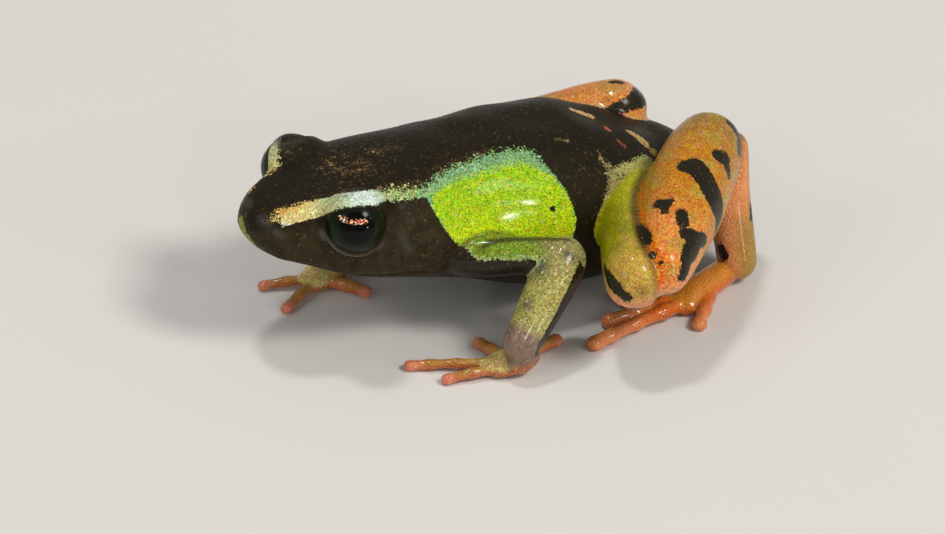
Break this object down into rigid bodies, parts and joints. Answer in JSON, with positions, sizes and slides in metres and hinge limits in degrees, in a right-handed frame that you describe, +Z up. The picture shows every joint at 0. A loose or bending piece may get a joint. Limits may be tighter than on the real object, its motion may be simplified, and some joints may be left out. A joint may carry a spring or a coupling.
{
  "type": "painted mantella",
  "caption": "Life-size still model of a small ground frog, the painted mantella, sitting alert with fore feet planted and hind legs folded, heels held high.",
  "frame": {"origin": "Middle of the bounding box at its base, on the floor under the frog's belly.", "axes": "+Z is up from the floor, -Y is towards the snout, +X is the frog's own left, the side with the high knee."},
  "size_m": [0.0208, 0.0244, 0.0087],
  "materials": {
    "black_skin": "glossy moist black-brown skin",
    "green_skin": "granular lime green and gold skin",
    "orange_skin": "granular orange skin with black blotches",
    "eye": "clear wet cornea over a black pupil and a dark iris"
  },
  "bodies": {
    "root": {"head": "black_skin", "torso": "black_skin", "eye_l": "eye", "upper_arm_l": "green_skin", "forearm_l": "green_skin", "hand_l": "orange_skin", "thigh_l": "orange_skin", "shank_l": "orange_skin", "tarsus_l": "orange_skin", "foot_l": "orange_skin", "eye_r": "eye", "upper_arm_r": "green_skin", "forearm_r": "green_skin", "hand_r": "orange_skin", "thigh_r": "orange_skin", "shank_r": "orange_skin", "tarsus_r": "orange_skin", "foot_r": "orange_skin"}
  },
  "joints": []
}
